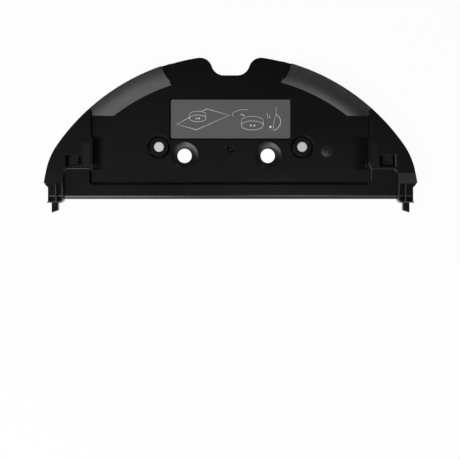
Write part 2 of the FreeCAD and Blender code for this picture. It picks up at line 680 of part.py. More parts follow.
def underside():
    """Cores under the wing and the ramp, the wing's rib, crescent cells and the bar slot."""
    skin = S["skin"]
    start = S["wing_foot"] + skin
    joint_x, joint_y = edge_joint(skin)
    crown = CROWN + skin
    sketch = new_sketch(plate, "WingCoreSketch")
    draw(sketch, [
        (PANEL_SIDE + skin, start),
        (shoulder_x(start, skin), start, S["shoulder_radius"] - skin),
        (joint_x, joint_y, EDGE_RADIUS - skin),
        (crown, edge_y(crown, skin)),
        (crown, CROWN_LOW),
        (WAIST + skin, WAIST_HIGH),
        (WAIST + skin, WAIST_LOW),
    ])
    pocket(plate, "WingCore", sketch, WING - skin, backwards=True)

    half_rib = S["rib_wall"] / 2
    sketch = new_sketch(plate, "WingRibSketch")
    draw(sketch, box_corners(CROWN + skin / 2, edge_x(S["wing_rib"], skin / 2) - skin / 4,
                             S["wing_rib"] - half_rib, S["wing_rib"] + half_rib))
    pad(plate, "WingRib", sketch, WING - skin / 2)

    sketch = new_sketch(plate, "RampCoreSketch")
    draw(sketch, box_corners(TOWER_INNER + skin, shoulder_x(S["wing_foot"], skin),
                             HEAD + skin, S["wing_foot"]))
    pocket(plate, "RampCore", sketch, WING - skin, backwards=True)

    outer = EDGE_RADIUS - skin
    inner = EDGE_RADIUS - S["crescent_width"] + skin * 2
    last = ((CRESCENT_FOOT + skin - EDGE_Y) / inner).arc_cosine()
    pitch = (last - CORE_AZIMUTH) / CORE_CELLS
    rib_angle = S["rib_wall"] / inner * math.degrees(1)
    rise = (WING - PANEL) / S["crescent_width"]
    sketch = radial_sketch("CrescentCoreSketch", CORE_AZIMUTH)
    draw(sketch, [(inner, -OVER), (outer, -OVER), (outer, WING - skin - rise * skin),
                  (inner, PANEL - skin + rise * skin * 2)])
    cell = turned(plate, "PartDesign::Groove", "CrescentCore", sketch, pitch - rib_angle,
                  backwards=True)
    cells = plate.newObject("PartDesign::PolarPattern", "CrescentCores")
    cells.Originals = [cell]
    cells.Axis = (sketch, ["V_Axis"])
    cells.Reversed = True
    cells.setExpression("Angle", (pitch * (CORE_CELLS - 1)).formula)
    cells.Occurrences = CORE_CELLS
    plate.Tip = cells
    settle(plate, cells, False)

    middle = S["slot_middle"]
    gap = S["slot_gap"] / 2
    room = S["slot_width"] / 2
    lip = S["slot_lip"]
    roof = lip + S["slot_room"]
    sketch = new_sketch(plate, "BarSlotSketch", "YZ_Plane")
    draw(sketch, [(middle - gap, -OVER), (middle + gap, -OVER), (middle + gap, lip),
                  (middle + room, lip), (middle + room, roof), (middle - room, roof),
                  (middle - room, lip), (middle - gap, lip)])
    pocket(plate, "BarSlot", sketch, SLOT_END, backwards=True)
    sketch = new_sketch(plate, "SlotMouthSketch")
    draw(sketch, box_corners(SLOT_END - S["slot_mouth"], SLOT_END,
                             middle - room, middle + room))
    pocket(plate, "SlotMouth", sketch, lip, backwards=True)


def patch_bed(name, x, y, width, depth):
    """Recess for a patch of hook tape in the underside."""
    half_x = width / 2 + S["tape_play"]
    half_y = depth / 2 + S["tape_play"]
    sketch = new_sketch(plate, f"{name}Sketch")
    draw(sketch, round_box(x - half_x, x + half_x, y - half_y, y + half_y,
                           S["tape_corner"] + S["tape_play"]))
    pocket(plate, name, sketch, S["tape_sink"], backwards=True)


def upright_sketch(name, x, y):
    """Sketch that stands on a vertical axis through (x, y); X is the radius."""
    sketch = new_sketch(plate, name, "XZ_Plane", lift=-y)
    sketch.setExpression("AttachmentOffset.Base.x", x.formula)
    return sketch


def magnet_boss():
    """Ring boss with a groove round it and the magnet's pocket."""
    top = PANEL + S["boss_rise"]
    bend = S["boss_round"]
    sketch = upright_sketch("MagnetBossSketch", S["magnet_half"], S["magnet_rise"])
    draw(sketch, [(ZERO, PANEL / 2), (S["boss_radius"], PANEL / 2),
                  (S["boss_radius"], top - bend, bend), (S["boss_radius"] - bend, top),
                  (ZERO, top)])
    turned(plate, "PartDesign::Revolution", "MagnetBoss", sketch)
    sketch = upright_sketch("BossMoatSketch", S["magnet_half"], S["magnet_rise"])
    draw(sketch, box_corners(S["boss_radius"], S["boss_radius"] + S["moat_width"],
                             PANEL - S["moat_depth"], PANEL + OVER))
    turned(plate, "PartDesign::Groove", "BossMoat", sketch)
    sketch = new_sketch(plate, "MagnetPocketSketch", lift=top)
    draw_circle(sketch, S["magnet_half"], S["magnet_rise"],
                S["magnet_radius"] + S["magnet_play"])
    pocket(plate, "MagnetPocket", sketch, S["magnet_thickness"] + S["magnet_play"])


def whole():
    """Mirror the half across the middle plane."""
    mirror = plate.newObject("PartDesign::Mirrored", "Whole")
    mirror.TransformMode = "Whole shape"
    mirror.MirrorPlane = (plane_of(plate, "YZ_Plane"), [""])
    plate.Tip = mirror
    settle(plate, mirror, True)


def tail_cut():
    """Clear the tail between the curved ends of the crescents, with a low land at each."""
    radius = S["crescent_end_radius"]
    right = S["crescent_end_half"] - S["flow_shift"]
    left = -S["crescent_end_half"] - S["flow_shift"]
    centre = S["plate_depth"] - S["crescent_end_inset"]
    low = centre - S["crescent_end_low"]
    high = centre - S["crescent_end_high"]
    low_reach = (radius * radius - S["crescent_end_low"] * S["crescent_end_low"]).root()
    high_reach = (radius * radius - S["crescent_end_high"] * S["crescent_end_high"]).root()
    far_reach = high_reach + (FAR - high) * S["crescent_end_high"] / high_reach
    land_top = PANEL + S["tail_land_rise"]
    sketch = new_sketch(plate, "CurvedEndsSketch", lift=land_top)
    draw(sketch, [(left - low_reach, low), (right + low_reach, low, radius),
                  (right + high_reach, high), (right + far_reach, FAR), (left - far_reach, FAR),
                  (left - high_reach, high, radius)])
    pocket(plate, "CurvedEnds", sketch, TOP, backwards=True)

    land_right = S["tail_land_half"] - S["flow_shift"]
    land_left = -S["tail_land_half"] - S["flow_shift"]
    slope = S["tail_land_slope"]
    sketch = new_sketch(plate, "TailSketch", "XZ_Plane", lift=-low)
    draw(sketch, [(land_left, PANEL), (land_right, PANEL), (land_right + slope, land_top),
                  (land_left - slope, land_top)])
    pocket(plate, "Tail", sketch, FAR)


def water_holes():
    """Two holes with dished funnels, both shifted to the left."""
    for name, side in (("LeftWaterHole", -1), ("RightWaterHole", 1)):
        x = S["hole_half"] * side - S["flow_shift"]
        sketch = upright_sketch(f"{name}Sketch", x, S["hole_rise"])
        bore = S["hole_radius"]
        draw(sketch, [(ZERO, -OVER), (bore, -OVER),
                      (bore, PANEL - S["funnel_depth"], S["funnel_radius"]),
                      (S["funnel_radius"], PANEL), (S["funnel_radius"], PANEL + OVER),
                      (ZERO, PANEL + OVER)])
        turned(plate, "PartDesign::Groove", name, sketch)


def marks():
    """Gate mark and the label's recess, both on the middle plane."""
    sketch = new_sketch(plate, "GateSketch", lift=PANEL)
    draw_circle(sketch, ZERO, S["gate_rise"], S["gate_radius"])
    pocket(plate, "Gate", sketch, S["gate_depth"])
    half_x = S["label_width"] / 2 + S["label_play"]
    half_y = S["label_depth"] / 2 + S["label_play"]
    sketch = new_sketch(plate, "LabelBedSketch", lift=PANEL)
    draw(sketch, round_box(-half_x, half_x, S["label_middle"] - half_y,
                           S["label_middle"] + half_y, S["label_corner"] + S["label_play"]))
    pocket(plate, "LabelBed", sketch, S["label_thickness"])


def outline_edges():
    """Round the tail's upper edge and the lower edge all along the outline."""
    low = NOTCH_FLOOR.value - 0.01
    edges = edges_where(plate.Tip, lambda point: near(point.z, PANEL) and point.y > low
                        and (on_round_edge(point) or abs(point.x) < S["lobe_radius"].value * 3))
    rounding(plate, "TailEdge", edges, S["tail_edge"])
    edges = edges_where(plate.Tip, lambda point: near(point.z, ZERO)
                        and (on_round_edge(FreeCAD.Vector(abs(point.x), point.y, 0))
                             or point.y > low))
    rounding(plate, "LowerEdge", edges, S["lower_edge"])


def button():
    """Domed button on the right of the panel."""
    rim = S["button_radius"]
    rise = S["button_height"]
    sketch = upright_sketch("ButtonSketch", S["button_side"], S["button_rise"])
    draw(sketch, [(ZERO, PANEL / 2), (rim, PANEL / 2),
                  (rim, PANEL, (rim * rim + rise * rise) / (rise * 2)), (ZERO, PANEL + rise)])
    turned(plate, "PartDesign::Revolution", "Button", sketch)


def build_plate():
    """All features of the moulding in their order."""
    blank()
    levels()
    level_edges()
    crescent()
    wall_details()
    tower()
    underside()
    latch()
    patch_bed("SidePatchBed", S["side_tape_half"], S["side_tape_rise"], S["side_tape_width"],
              S["side_tape_depth"])
    patch_bed("TailPatchBed", ZERO, NOTCH_FLOOR - S["tail_tape_gap"], S["tail_tape_width"],
              S["tail_tape_depth"])
    magnet_boss()
    marks()
    whole()
    tail_cut()
    outline_edges()
    water_holes()
    button()


def label():
    """Glued label in the panel's shallow recess."""
    body = new_body("label")
    half_x = S["label_width"] / 2
    half_y = S["label_depth"] / 2
    sketch = new_sketch(body, "LabelSketch", lift=PANEL - S["label_thickness"])
    draw(sketch, round_box(-half_x, half_x, S["label_middle"] - half_y,
                           S["label_middle"] + half_y, S["label_corner"]))
    pad(body, "Label", sketch, S["label_thickness"])


def magnet(name, side):
    """Disc magnet with chamfered edges, resting on the floor of its pocket."""
    body = new_body(name)
    x = S["magnet_half"] * side
    floor = PANEL + S["boss_rise"] - S["magnet_thickness"] - S["magnet_play"]
    top = floor + S["magnet_thickness"]
    edge = S["magnet_edge"]
    rim = S["magnet_radius"]
    sketch = new_sketch(body, f"{name}_sketch", "XZ_Plane", lift=-S["magnet_rise"])
    sketch.setExpression("AttachmentOffset.Base.x", x.formula)
    draw(sketch, [(ZERO, floor), (rim - edge, floor), (rim, floor + edge),
                  (rim, top - edge), (rim - edge, top), (ZERO, top)])
    turned(body, "PartDesign::Revolution", f"{name}_disc", sketch)


def hook_tape(name, x, y, width, depth):
    """Patch of hook tape in its recess, standing proud of the underside."""
    body = new_body(name)
    half_x = width / 2
    half_y = depth / 2
    sketch = new_sketch(body, f"{name}_sketch", lift=S["tape_sink"] - S["tape_thickness"])
    draw(sketch, round_box(x - half_x, x + half_x, y - half_y, y + half_y, S["tape_corner"]))
    pad(body, f"{name}_patch", sketch, S["tape_thickness"])


build_plate()
label()
magnet("magnet_left", -1)
magnet("magnet_right", 1)
for name, x, y, width, depth in (
        ("hook_tape_left", -S["side_tape_half"], S["side_tape_rise"], S["side_tape_width"],
         S["side_tape_depth"]),
        ("hook_tape_right", S["side_tape_half"], S["side_tape_rise"], S["side_tape_width"],
         S["side_tape_depth"]),
        ("hook_tape_centre", ZERO, NOTCH_FLOOR - S["tail_tape_gap"], S["tail_tape_width"],
         S["tail_tape_depth"])):
    hook_tape(name, x, y, width, depth)

doc.recompute()
for item in doc.Objects:
    if "Invalid" in item.State or "Error" in item.State:
        raise RuntimeError(f"{item.Label} did not recompute")
bodies = [item for item in doc.Objects if item.TypeId == "PartDesign::Body"]
for body in bodies:
    if body.Shape.isNull() or not body.Shape.isValid() or len(body.Shape.Solids) != 1:
        raise RuntimeError(f"{body.Label} has no sound solid")
for body in bodies:
    body.Shape.exportStep(f"parts/{body.Label}.step")
    print(f"{body.Label}: {body.Shape.Volume:.0f} cubic millimetres")
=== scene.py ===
import logging
import math
from dataclasses import dataclass, field
from enum import Enum
from typing import Any, Iterable

import bmesh
import bpy
from mathutils import Matrix, Vector


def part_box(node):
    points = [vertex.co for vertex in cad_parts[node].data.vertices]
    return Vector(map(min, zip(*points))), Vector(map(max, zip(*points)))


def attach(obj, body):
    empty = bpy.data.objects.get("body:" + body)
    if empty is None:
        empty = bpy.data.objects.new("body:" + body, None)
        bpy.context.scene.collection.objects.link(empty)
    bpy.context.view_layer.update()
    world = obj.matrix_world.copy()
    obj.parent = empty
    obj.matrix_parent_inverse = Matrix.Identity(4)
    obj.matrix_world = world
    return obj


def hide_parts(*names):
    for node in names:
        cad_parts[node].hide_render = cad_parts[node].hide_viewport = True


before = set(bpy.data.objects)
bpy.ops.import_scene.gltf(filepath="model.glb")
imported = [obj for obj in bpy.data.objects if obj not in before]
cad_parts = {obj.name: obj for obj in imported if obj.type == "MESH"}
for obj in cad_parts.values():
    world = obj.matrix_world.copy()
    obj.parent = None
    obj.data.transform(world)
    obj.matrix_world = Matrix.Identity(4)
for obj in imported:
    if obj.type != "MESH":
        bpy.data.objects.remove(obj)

# The mop plate of a robot vacuum, lying flat and seen from straight above: a satin black
# moulding with a printed label, two disc magnets and three patches of hook tape underneath.

LOG = logging.getLogger("mop_plate")
MM = 0.001

# What the photograph gives: its size, the place of the plate's middle and the width of one
# pixel, both at the height of the wings, and the distance of the camera from them.
PHOTO_WIDTH_PX = 460
PHOTO_CENTRE_PX = 230.0
PLATE_CENTRE_PX = (230.555, 134.48)
PIXEL_MM = 0.83268
CAMERA_DISTANCE_MM = 700.0
WING_TOP_MM = 7.8

# The sRGB curve: a straight line up to its knee, and a power of the shifted value above it.
SRGB_KNEE = 0.04045
SRGB_SLOPE = 12.92
SRGB_SHIFT = 0.055
SRGB_POWER = 2.4

# Numbers of the mix node's sockets, because it has some of the same name for each data type.
MIX_SHARE = 0
MIX_NUMBERS = (2, 3)
MIX_COLOURS = (6, 7)
MIXED_NUMBER = 0
MIXED_COLOUR = 2

# The wave texture goes through this many radians in one unit of its scaled coordinates.
WAVE_RADIANS = 20.0

# The profile of a round bevel, and the distance under which two points are one.
ROUND_PROFILE = 0.5
WELD_M = 1e-7

FULL_TURN = 360.0
OVAL_STEP = 12.0

Tree = bpy.types.NodeTree
Socket = bpy.types.NodeSocket


class Slot(Enum):
    """Material slots of the record, which no piece in this script takes its finish from."""

    LABEL = "label_film"
    HOOKS = "hook_nylon"


class Effect(Enum):
    """What marks do to a moulded face, with the operation that joins the marks."""

    DULL = "MAXIMUM"
    SUNK = "MINIMUM"


class Turn(Enum):
    """The way along X in which a hook turns."""

    RIGHT = 1.0
    LEFT = -1.0


def linear(hex_colour: str) -> tuple[float, float, float, float]:
    """Turn an sRGB hex colour into linear RGBA.

    Args:
        hex_colour: Six hex digits with a leading hash.

    Returns:
        The four channels that a shader socket takes.
    """
    channels = [int(hex_colour[start:start + 2], 16) / 255 for start in (1, 3, 5)]
    red, green, blue = (
        value / SRGB_SLOPE if value <= SRGB_KNEE
        else ((value + SRGB_SHIFT) / (1 + SRGB_SHIFT)) ** SRGB_POWER
        for value in channels
    )
    return red, green, blue, 1.0


def add_node(tree: Tree, kind: str, sockets: dict[Any, Any] | None = None,
             **settings: Any) -> bpy.types.Node:
    """Add a shader node with its settings, its socket values and its links.

    Args:
        tree: Node tree that receives the node.
        kind: Type name of the node.
        sockets: Input name or number to a plain value, or to the output that feeds it.
        settings: Attributes of the node.

    Returns:
        The new node.
    """
    node = tree.nodes.new(kind)
    for name, value in settings.items():
        setattr(node, name, value)
    for name, value in (sockets or {}).items():
        if isinstance(value, Socket):
            tree.links.new(value, node.inputs[name])
        else:
            node.inputs[name].default_value = value
    return node


def number_math(tree: Tree, operation: str, *values: Socket | float) -> Socket:
    """Add a math node for numbers.

    Args:
        tree: Node tree that receives the node.
        operation: What the node does with its inputs.
        values: Its inputs in order.

    Returns:
        The result.
    """
    return add_node(tree, "ShaderNodeMath", dict(enumerate(values)),
                    operation=operation).outputs["Value"]


def vector_math(tree: Tree, operation: str, *values: Socket | tuple[float, ...]) -> Socket:
    """Add a math node for vectors.

    Args:
        tree: Node tree that receives the node.
        operation: What the node does with its inputs.
        values: Its inputs in order.

    Returns:
        The resulting vector.
    """
    return add_node(tree, "ShaderNodeVectorMath", dict(enumerate(values)),
                    operation=operation).outputs["Vector"]


def noise(tree: Tree, place: Socket, cell_mm: float, detail: float,
          roughness: float = 0.5) -> Socket:
    """Add a noise texture.

    Args:
        tree: Node tree that receives the node.
        place: Coordinates in metres.
        cell_mm: Rough width of one cell of the pattern.
        detail: How many finer layers are laid over it.
        roughness: How strong each layer is against the one before.

    Returns:
        The pattern, from nought to one.
    """
    return add_node(tree, "ShaderNodeTexNoise", {
        "Vector": place, "Scale": 1.0 / (cell_mm * MM), "Detail": detail,
        "Roughness": roughness}).outputs["Fac"]


def wave(tree: Tree, place: Socket, period_mm: float, distortion: float, detail: float,
         **settings: str) -> Socket:
    """Add a wave texture.

    Args:
        tree: Node tree that receives the node.
        place: Coordinates in metres.
        period_mm: Distance from crest to crest.
        distortion: How far the waves stray.
        detail: How many finer layers the straying has.
        settings: Form and direction of the waves.

    Returns:
        The pattern, from nought to one.
    """
    scale = 2 * math.pi / (WAVE_RADIANS * period_mm * MM)
    return add_node(tree, "ShaderNodeTexWave", {
        "Vector": place, "Scale": scale, "Distortion": distortion, "Detail": detail},
        **settings).outputs["Fac"]


def tint(tree: Tree, share: Socket, first: str, second: str) -> Socket:
    """Mix two colours.

    Args:
        tree: Node tree that receives the node.
        share: Pattern that is one where only the second colour shows.
        first: Its sRGB hex colour.
        second: Its sRGB hex colour.

    Returns:
        The mixed colour.
    """
    return add_node(tree, "ShaderNodeMix", {
        MIX_SHARE: share, MIX_COLOURS[0]: linear(first), MIX_COLOURS[1]: linear(second)},
        data_type="RGBA").outputs[MIXED_COLOUR]


def relief(tree: Tree, height: Socket, depth_mm: float, strength: float) -> bpy.types.Node:
    """Add a bump.

    Args:
        tree: Node tree that receives the node.
        height: Pattern of the relief, from nought to one.
        depth_mm: Depth that one stands for.
        strength: Share of the relief that shows.

    Returns:
        The bump, which may be laid over another one.
    """
    return add_node(tree, "ShaderNodeBump", {
        "Height": height, "Distance": depth_mm * MM, "Strength": strength})


def start_material(name: str) -> tuple[bpy.types.Material, Tree, Socket]:
    """Make an empty node material.

    Args:
        name: Name of the real material.

    Returns:
        The material, its node tree and its Object coordinates.
    """
    material = bpy.data.materials.new(name)
    material.use_nodes = True
    tree = material.node_tree
    tree.nodes.clear()
    return material, tree, add_node(tree, "ShaderNodeTexCoord").outputs["Object"]


def end_material(material: bpy.types.Material, sockets: dict[str, Any]
                 ) -> bpy.types.Material:
    """Give a material its surface shader and its output.

    Args:
        material: Material whose other nodes are in place.
        sockets: Input name of the shader to a plain value, or to the output that feeds it.

    Returns:
        The finished material.
    """
    tree = material.node_tree
    shader = add_node(tree, "ShaderNodeBsdfPrincipled", sockets)
    add_node(tree, "ShaderNodeOutputMaterial", {"Surface": shader.outputs["BSDF"]})
    return material


@dataclass(frozen=True)
class RoundMark:
    """A round place of the mould, or a ring, in millimetres.

    The mark fades over the width of its flank. Its share is how dull the place is, or for a
    groove the slope of its flanks.
    """

    centre: tuple[float, float]
    radius: float
    flank: float
    share: float
    ring: bool = False

    def aside(self, tree: Tree, plan: Socket) -> Socket:
        """Measure how far each point is from the place.

        Args:
            tree: Node tree of the material.
            plan: Object coordinates with their height taken out.

        Returns:
            The distance from its rim in metres, under nought inside.
        """
        centre = (self.centre[0] * MM, self.centre[1] * MM, 0)
        away = add_node(tree, "ShaderNodeVectorMath", {0: plan, 1: centre},
                        operation="DISTANCE").outputs["Value"]
        return number_math(tree, "SUBTRACT", away, self.radius * MM)


@dataclass(frozen=True)
class StraightMark:
    """A rectangle of the mould, its outline or a straight line, in millimetres.

    It is given by its two corners. Flank and share mean what they mean for a round mark.
    """

    low: tuple[float, float]
    high: tuple[float, float]
    flank: float
    share: float
    ring: bool = False

    def aside(self, tree: Tree, plan: Socket) -> Socket:
        """Measure how far each point is from the rectangle.

        Args:
            tree: Node tree of the material.
            plan: Object coordinates with their height taken out.

        Returns:
            The distance in metres along X or Y, whichever is more, under nought inside.
        """
        middle = [(low + high) / 2 * MM for low, high in zip(self.low, self.high)]
        half = [(high - low) / 2 * MM for low, high in zip(self.low, self.high)]
        away = vector_math(tree, "SUBTRACT", plan, (*middle, 0))
        away = vector_math(tree, "ABSOLUTE", away)
        away = vector_math(tree, "SUBTRACT", away, (*half, 0))
        ways = add_node(tree, "ShaderNodeSeparateXYZ", {0: away}).outputs
        return number_math(tree, "MAXIMUM", ways["X"], ways["Y"])


Mark = RoundMark | StraightMark


def mark_pattern(tree: Tree, plan: Socket, marks: Iterable[Mark], effect: Effect) -> Socket:
    """Join marks to one pattern, which is nought beside them.

    Args:
        tree: Node tree of the material.
        plan: Object coordinates with their height taken out.
        marks: Places of the mould.
        effect: What the marks do.

    Returns:
        The share of dullness, or the height in metres, which is under nought in grooves.
    """
    total = None
    for mark in marks:
        away = mark.aside(tree, plan)
        if mark.ring:
            away = number_math(tree, "ABSOLUTE", away)
        peak = mark.share if effect is Effect.DULL else -mark.flank * mark.share * MM
        value = add_node(tree, "ShaderNodeMapRange", {
            "Value": away, "From Min": 0.0, "From Max": mark.flank * MM,
            "To Min": peak, "To Max": 0.0}).outputs["Result"]
        total = value if total is None else number_math(tree, effect.value, total, value)
    return total


@dataclass(frozen=True)
class MouldedAbs:
    """Black ABS, injection moulded in a fine spark-eroded mould.

    The eye gets a deep neutral black, a broad satin gloss on slopes and roundings, and a dry
    fine grain up close. Some places of the mould are duller. The corners at the foot of its
    walls and in its moats are run out by a fine relief, so that they show as soft dark lines.
    """

    colour: str = "#0b0b0c"
    pale_colour: str = "#0f0f10"
    roughness: tuple[float, float] = (0.17, 0.22)
    dull_roughness: float = 0.6
    ior: float = 1.54
    # A real grain of 0.1 mm is too fine to show, so it is drawn three times as coarse.
    grain_mm: float = 0.3
    grain_depth_mm: float = 0.004
    grain_strength: float = 0.55
    # The melt flows from the middle to both sides, so its faint streaks run along X.
    flow_mm: float = 26.0
    flow_shrink: tuple[float, float, float] = (0.3, 1.0, 1.0)
    flow_range: tuple[float, float] = (0.3, 0.7)
    dull_marks: tuple[Mark, ...] = (
        # The two funnels.
        RoundMark((-38.6, -17.3), 11.0, 0.8, 0.3),
        RoundMark((31.2, -17.3), 11.0, 0.8, 0.3),
        # The round button and the mark of the gate.
        RoundMark((80.5, -13.7), 4.4, 0.8, 0.8),
        RoundMark((0.0, -12.1), 1.0, 0.8, 0.6),
        # The lands beside the latch recesses, and the left wing's raised pad.
        StraightMark((-122.5, -26.5), (-117.5, -7.5), 1.2, 0.35),
        StraightMark((117.5, -26.5), (122.5, -7.5), 1.2, 0.14),
        StraightMark((-106.5, -28.0), (-100.0, -1.5), 2.0, 0.14),
        # The ramp of the left latch recess.
        StraightMark((-133.5, -25.0), (-128.5, -18.0), 1.2, 0.3),
    )
    grooves: tuple[Mark, ...] = (
        # The moats round the magnets' bosses, and the rim of the gate's mark.
        RoundMark((-59.9, -10.0), 8.75, 1.1, 0.75, ring=True),
        RoundMark((59.9, -10.0), 8.75, 1.1, 0.75, ring=True),
        RoundMark((0.0, -12.1), 1.7, 1.1, 1.1, ring=True),
        # The slots at the outer ends of the latch recesses.
        StraightMark((-136.6, -25.6), (-136.4, -17.5), 1.1, 0.9),
        StraightMark((136.6, -25.6), (136.8, -17.5), 1.1, 0.9),
        # The foot of the right recess's inner wall, and of its front wall.
        StraightMark((125.6, -25.6), (125.9, -17.5), 1.3, 0.9),
        StraightMark((126.5, -25.9), (136.0, -25.9), 0.8, 0.9),
        # A stretch of the foot of the left recess's inner wall, and its front edge.
        StraightMark((-125.9, -22.4), (-125.2, -19.6), 1.6, 1.0),
        StraightMark((-131.5, -26.6), (-125.0, -26.6), 0.9, 0.8),
        # The gap round the label.
        StraightMark((-50.15, -3.05), (50.15, 29.85), 0.9, 1.2, ring=True),
        # The foot of the front strip, and of the left wall of the sunk panel.
        StraightMark((-114.5, -40.7), (114.5, -40.7), 1.2, 0.85),
        StraightMark((-117.0, -39.9), (-117.0, -30.0), 1.0, 0.8),
    )

    def make(self) -> bpy.types.Material:
        """Build the material.

        Returns:
            The finished material.
        """
        material, tree, place = start_material("moulded_black_abs")
        streaks = add_node(tree, "ShaderNodeMapping", {
            "Vector": place, "Scale": self.flow_shrink}).outputs["Vector"]
        flow = noise(tree, streaks, self.flow_mm, detail=3.0, roughness=0.55)
        gloss = add_node(tree, "ShaderNodeMapRange", {
            "Value": flow, "From Min": self.flow_range[0], "From Max": self.flow_range[1],
            "To Min": self.roughness[0], "To Max": self.roughness[1]}).outputs["Result"]
        plan = vector_math(tree, "MULTIPLY", place, (1, 1, 0))
        # The marks belong to the upper side, so they stop where the surface faces down.
        normal = add_node(tree, "ShaderNodeTexCoord").outputs["Normal"]
        facing = add_node(tree, "ShaderNodeSeparateXYZ", {0: normal}).outputs["Z"]
        upper = number_math(tree, "GREATER_THAN", facing, 0.0)
        dull = mark_pattern(tree, plan, self.dull_marks, Effect.DULL)
        roughness = add_node(tree, "ShaderNodeMix", {
            MIX_SHARE: number_math(tree, "MULTIPLY", dull, upper),
            MIX_NUMBERS[0]: gloss, MIX_NUMBERS[1]: self.dull_roughness},
            data_type="FLOAT").outputs[MIXED_NUMBER]
        sunk = mark_pattern(tree, plan, self.grooves, Effect.SUNK)
        # The grooves' height is in metres already, so one stands for one metre.
        flanks = relief(tree, number_math(tree, "MULTIPLY", sunk, upper), 1.0 / MM, 1.0)
        grain = noise(tree, place, self.grain_mm, detail=2.0, roughness=0.6)
        bump = relief(tree, grain, self.grain_depth_mm, self.grain_strength)
        tree.links.new(flanks.outputs["Normal"], bump.inputs["Normal"])
        return end_material(material, {
            "Base Color": tint(tree, flow, self.colour, self.pale_colour),
            "Roughness": roughness, "IOR": self.ior, "Normal": bump.outputs["Normal"]})


@dataclass(frozen=True)
class PolyesterFilm:
    """Matt polyester label film, printed grey.

    The eye gets an even mid grey with a soft mottle of the print and almost no gloss.
    """

    colour: str = "#5c5c5b"
    pale_colour: str = "#626261"
    roughness: float = 0.5
    ior: float = 1.5
    mottle_mm: float = 1.6
    # The film's own grain, under 0.1 mm, is too fine to show, so it is drawn coarser.
    grain_mm: float = 0.25
    grain_depth_mm: float = 0.006
    grain_strength: float = 0.4

    def make(self) -> bpy.types.Material:
        """Build the material.

        Returns:
            The finished material.
        """
        material, tree, place = start_material("printed_polyester_film")
        mottle = noise(tree, place, self.mottle_mm, detail=4.0)
        grain = noise(tree, place, self.grain_mm, detail=1.0)
        bump = relief(tree, grain, self.grain_depth_mm, self.grain_strength)
        return end_material(material, {
            "Base Color": tint(tree, mottle, self.colour, self.pale_colour),
            "Roughness": self.roughness, "IOR": self.ior, "Normal": bump.outputs["Normal"]})


@dataclass(frozen=True)
class PrintingInk:
    """Pale screen printing ink, a thin dry film on the label.

    The eye gets an off-white line whose cover varies a little.
    """

    colour: str = "#f0f0ec"
    thin_colour: str = "#cfcfcb"
    roughness: float = 0.55
    ior: float = 1.5
    cover_mm: float = 0.9

    def make(self) -> bpy.types.Material:
        """Build the material.

        Returns:
            The finished material.
        """
        material, tree, place = start_material("screen_printing_ink")
        cover = noise(tree, place, self.cover_mm, detail=3.0)
        return end_material(material, {
            "Base Color": tint(tree, cover, self.thin_colour, self.colour),
            "Roughness": self.roughness, "IOR": self.ior})


@dataclass(frozen=True)
class NickelPlate:
    """Satin nickel plating on a sintered and ground magnet.

    The eye gets a light, slightly warm metal with faint grinding rings and a fine pitting.
    """

    colour: str = "#f6f5f3"
    pit_colour: str = "#e8e7e5"
    metallic: float = 0.85
    roughness: float = 0.6
    pit_mm: float = 0.7
    # Real grinding marks are under 0.1 mm apart; only such coarse rings show at all.
    ring_mm: float = 2.199
    ring_depth_mm: float = 0.004
    ring_strength: float = 0.25

    def make(self, side: str, centre: Vector) -> bpy.types.Material:
        """Build the material for one magnet.

        Args:
            side: Word for the magnet's side, used in the name.
            centre: Middle of the magnet, where its rings are centred.

        Returns:
            The finished material.
        """
        material, tree, place = start_material(f"satin_nickel_plate_{side}")
        centred = add_node(tree, "ShaderNodeMapping", {
            "Vector": place, "Location": -centre}).outputs["Vector"]
        rings = wave(tree, centred, self.ring_mm, distortion=0.6, detail=1.0,
                     wave_type="RINGS", rings_direction="Z")
        pits = noise(tree, place, self.pit_mm, detail=3.0)
        bump = relief(tree, rings, self.ring_depth_mm, self.ring_strength)
        return end_material(material, {
            "Base Color": tint(tree, pits, self.pit_colour, self.colour),
            "Metallic": self.metallic, "Roughness": self.roughness,
            "Normal": bump.outputs["Normal"]})


@dataclass(frozen=True)
class HookNylon:
    """Black nylon hook tape: a woven ground with cut monofilament hooks.

    The eye gets a dark weave of warp and weft threads, and small glossy hooks.
    """

    colour: str = "#1b1b1d"
    thread_colour: str = "#2a2a2d"
    roughness: float = 0.55
    ior: float = 1.53
    sheen: float = 0.15
    # Real threads are 0.2 mm wide; they are drawn much coarser, so that the weave shows.
    thread_mm: float = 2.513
    thread_depth_mm: float = 0.05
    thread_strength: float = 0.7

    def make(self) -> bpy.types.Material:
        """Build the material.

        Returns:
            The finished material.
        """
        material, tree, place = start_material("woven_nylon_hook_tape")
        warp, weft = (
            wave(tree, place, self.thread_mm, distortion=0.4, detail=2.0,
                 wave_type="BANDS", bands_direction=axis) for axis in ("X", "Y"))
        weave = number_math(tree, "MULTIPLY", warp, weft)
        bump = relief(tree, weave, self.thread_depth_mm, self.thread_strength)
        return end_material(material, {
            "Base Color": tint(tree, weave, self.colour, self.thread_colour),
            "Roughness": self.roughness, "IOR": self.ior, "Sheen Weight": self.sheen,
            "Normal": bump.outputs["Normal"]})


